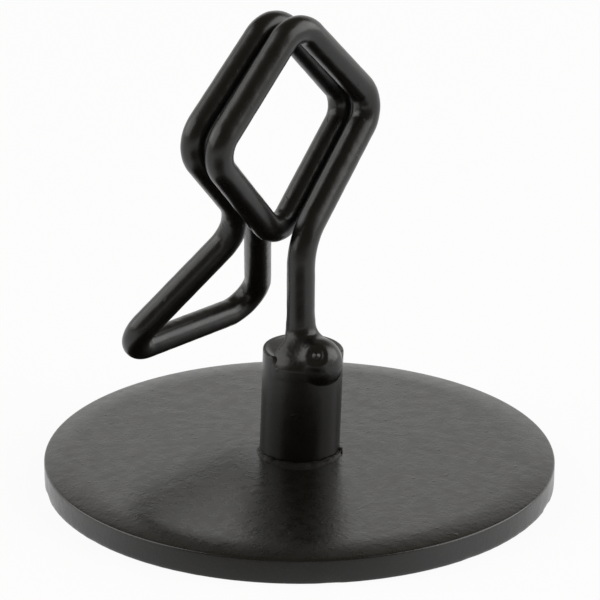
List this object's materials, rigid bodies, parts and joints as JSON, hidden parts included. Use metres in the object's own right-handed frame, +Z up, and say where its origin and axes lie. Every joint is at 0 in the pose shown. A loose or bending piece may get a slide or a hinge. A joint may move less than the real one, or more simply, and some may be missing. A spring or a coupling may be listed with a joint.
{
  "type": "menu card holder",
  "caption": "Table stand for an upright menu card: a round steel foot, a short post and one bent wire whose coil grips the card.",
  "frame": {"origin": "centre of the round foot's underside, on the surface that it stands on", "axes": "+Z up; +X along the coil, to its right seen from the front; +Y towards the back, where the lever slopes down"},
  "size_m": [0.0635, 0.0634, 0.0583],
  "materials": {
    "plate_paint": "satin black with a fine orange peel",
    "post_paint": "satin black",
    "weld_paint": "satin black over an uneven weld",
    "wire_paint": "satin black"
  },
  "bodies": {
    "root": {"base_disc": "plate_paint", "post": "post_paint", "foot_weld": "weld_paint", "wire_clip": "wire_paint", "top_weld": "weld_paint"}
  },
  "joints": []
}
